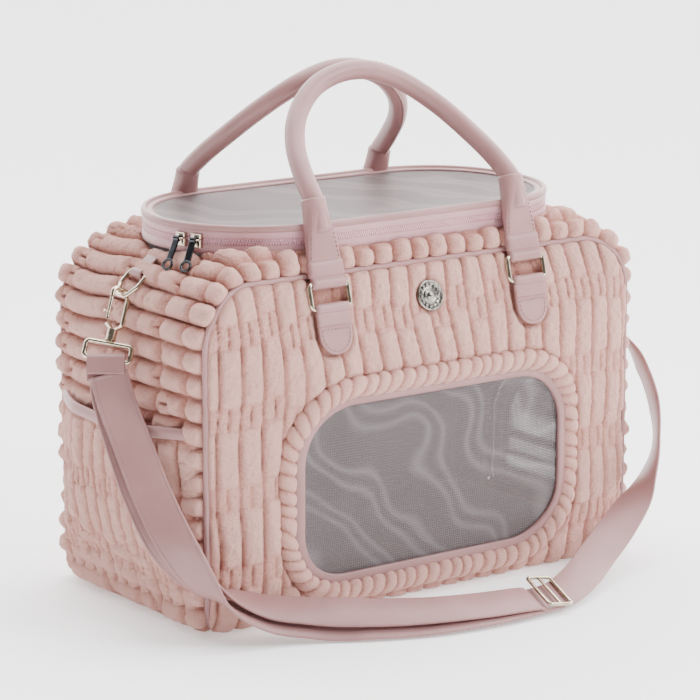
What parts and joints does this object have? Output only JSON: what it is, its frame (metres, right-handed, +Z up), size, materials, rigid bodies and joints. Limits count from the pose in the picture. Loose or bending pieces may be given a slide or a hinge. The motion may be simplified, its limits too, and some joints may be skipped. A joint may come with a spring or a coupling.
{
  "type": "soft pet carrier bag",
  "caption": "Soft-sided plush pet carrier with a mesh front window, zipped mesh lid, end door, slip pocket, ringed grab handles and a clip-on shoulder strap.",
  "frame": {"origin": "middle of the underside, on the surface the bag stands on", "axes": "+X along the bag's length, -Y out of the window panel, +Z up"},
  "size_m": [0.5117, 0.3438, 0.419],
  "materials": {
    "plush": "tufted rabbit-style plush in rows of rolled ribs",
    "leatherette": "satin rose leatherette with fine grain",
    "window_net": "fine open net, slightly shiny",
    "lid_net": "fine honeycomb net",
    "lining": "plain woven lining",
    "cushion": "short velour",
    "board": "matte board",
    "zip_tape": "satin woven tape",
    "zip_coil": "nylon coil",
    "gunmetal": "polished gunmetal plating",
    "pale_gold": "polished champagne plating",
    "badge_metal": "antiqued silver with darkened recesses"
  },
  "bodies": {
    "carcass": {"front_panel": "plush", "back_panel": "plush", "window_ruff": "plush", "window_binding": "leatherette", "window_mesh": "window_net", "bottom_panel": "plush", "left_gusset": "plush", "right_gusset": "plush", "top_front_border": "plush", "top_back_border": "plush", "cabin_lining": "lining", "base_board": "board", "base_cushion": "cushion", "left_pocket": "plush", "left_pocket_binding": "leatherette", "collar_zip_tape": "zip_tape", "collar_zip_coil": "zip_coil", "door_zip_tape": "zip_tape", "front_piping": "leatherette", "back_piping": "leatherette", "badge": "badge_metal", "front_left_tab": "leatherette", "front_right_tab": "leatherette", "back_left_tab": "leatherette", "back_right_tab": "leatherette", "left_d_ring_tab": "leatherette", "right_d_ring_tab": "leatherette"},
    "lid": {"lid_zip_coil": "zip_coil", "lid_zip_tape": "zip_tape", "lid_binding": "leatherette", "lid_mesh": "lid_net"},
    "front_slider": {"zip_slider_front": "gunmetal"},
    "front_pull": {"zip_pull_front": "gunmetal"},
    "rear_slider": {"zip_slider_rear": "gunmetal"},
    "rear_pull": {"zip_pull_rear": "gunmetal"},
    "front_rings": {"front_left_ring": "pale_gold", "front_right_ring": "pale_gold"},
    "back_rings": {"back_left_ring": "pale_gold", "back_right_ring": "pale_gold"},
    "front_handle": {"front_handle_tube": "leatherette", "front_left_flap": "leatherette", "front_right_flap": "leatherette"},
    "back_handle": {"back_handle_tube": "leatherette", "back_left_flap": "leatherette", "back_right_flap": "leatherette"},
    "left_d": {"left_d_ring": "pale_gold"},
    "right_d": {"right_d_ring": "pale_gold"},
    "strap": {"strap_long_run": "leatherette", "strap_return_run": "leatherette", "strap_slider_buckle": "pale_gold", "left_strap_loop": "pale_gold", "right_strap_loop": "pale_gold"},
    "left_hook": {"left_hook": "pale_gold"},
    "right_hook": {"right_hook": "pale_gold"},
    "left_gate": {"left_gate": "pale_gold"},
    "right_gate": {"right_gate": "pale_gold"},
    "door": {"door_panel": "plush", "door_mesh": "window_net"},
    "door_slider": {"door_zip_slider": "gunmetal"},
    "door_pull": {"door_zip_pull": "gunmetal"}
  },
  "joints": [
    {"name": "lid_hinge", "type": "hinge", "parent": "carcass", "child": "lid", "pos_m": [0, 0.0905, 0.296], "axis": [-1, 0, 0], "range_deg": [0, 85]},
    {"name": "front_slider_travel", "type": "hinge", "parent": "carcass", "child": "front_slider", "pos_m": [-0.09, 0, 0.296], "axis": [0, 0, 1], "range_deg": [0, 36]},
    {"name": "front_pull_hinge", "type": "hinge", "parent": "front_slider", "child": "front_pull", "pos_m": [-0.17754, -0.0427, 0.2974], "axis": [-0.4384, 0.8988, 0], "range_deg": [0, 95]},
    {"name": "rear_slider_travel", "type": "hinge", "parent": "carcass", "child": "rear_slider", "pos_m": [-0.09, 0, 0.296], "axis": [0, 0, 1], "range_deg": [-60, 0]},
    {"name": "rear_pull_hinge", "type": "hinge", "parent": "rear_slider", "child": "rear_pull", "pos_m": [-0.18314, -0.02848, 0.2974], "axis": [-0.2924, 0.9563, 0], "range_deg": [0, 95]},
    {"name": "front_rings_hinge", "type": "hinge", "parent": "carcass", "child": "front_rings", "pos_m": [0, -0.11213, 0.246], "axis": [1, 0, 0], "range_deg": [0, 20]},
    {"name": "front_handle_hinge", "type": "hinge", "parent": "front_rings", "child": "front_handle", "pos_m": [0, -0.10709, 0.26484], "axis": [1, 0, 0], "range_deg": [0, 136]},
    {"name": "back_rings_hinge", "type": "hinge", "parent": "carcass", "child": "back_rings", "pos_m": [0, 0.11213, 0.246], "axis": [-1, 0, 0], "range_deg": [0, 20]},
    {"name": "back_handle_hinge", "type": "hinge", "parent": "back_rings", "child": "back_handle", "pos_m": [0, 0.10709, 0.26484], "axis": [-1, 0, 0], "range_deg": [0, 136]},
    {"name": "strap_swing", "type": "hinge", "parent": "carcass", "child": "strap", "pos_m": [0, 0, 0.252], "axis": [-1, 0, 0], "range_deg": [0, 15]},
    {"name": "left_d_ring_hinge", "type": "hinge", "parent": "carcass", "child": "left_d", "pos_m": [-0.2005, 0, 0.2675], "axis": [0, 1, 0], "range_deg": [0, 1.5]},
    {"name": "left_hook_swivel", "type": "hinge", "parent": "strap", "child": "left_hook", "pos_m": [-0.23196, -0.00952, 0.22299], "axis": [-0.4401, -0.2801, -0.8532], "range_deg": [-5, 5]},
    {"name": "left_gate_hinge", "type": "hinge", "parent": "left_hook", "child": "left_gate", "pos_m": [-0.23297, -0.0052, 0.23616], "axis": [0, 0.9501, -0.3119], "range_deg": [0, 15], "stiffness_Nm_per_rad": 0.002},
    {"name": "right_d_ring_hinge", "type": "hinge", "parent": "carcass", "child": "right_d", "pos_m": [0.2005, 0, 0.2675], "axis": [0, -1, 0], "range_deg": [0, 1.5]},
    {"name": "right_hook_swivel", "type": "hinge", "parent": "strap", "child": "right_hook", "pos_m": [0.23196, -0.00952, 0.22299], "axis": [0.4401, -0.2801, -0.8532], "range_deg": [-5, 5]},
    {"name": "right_gate_hinge", "type": "hinge", "parent": "right_hook", "child": "right_gate", "pos_m": [0.23297, -0.0052, 0.23616], "axis": [0, -0.9501, 0.3119], "range_deg": [0, 15], "stiffness_Nm_per_rad": 0.002},
    {"name": "door_hinge", "type": "hinge", "parent": "carcass", "child": "door", "pos_m": [0.214, 0, 0.024], "axis": [0, 1, 0], "range_deg": [0, 90]},
    {"name": "door_slider_travel", "type": "slide", "parent": "carcass", "child": "door_slider", "axis": [0, 0, 1], "range_m": [0, 0.03]},
    {"name": "door_pull_hinge", "type": "hinge", "parent": "door_slider", "child": "door_pull", "pos_m": [0.2242, -0.0798, 0.032], "axis": [0, -1, 0], "range_deg": [0, 95]}
  ],
  "couplings": [
    {"joint": "front_handle_hinge", "follows": "lid_hinge", "ratio": 1.6},
    {"joint": "back_handle_hinge", "follows": "lid_hinge", "ratio": 1.6},
    {"joint": "front_pull_hinge", "follows": "front_slider_travel", "ratio": 2.2},
    {"joint": "rear_pull_hinge", "follows": "rear_slider_travel", "ratio": -1.3}
  ]
}
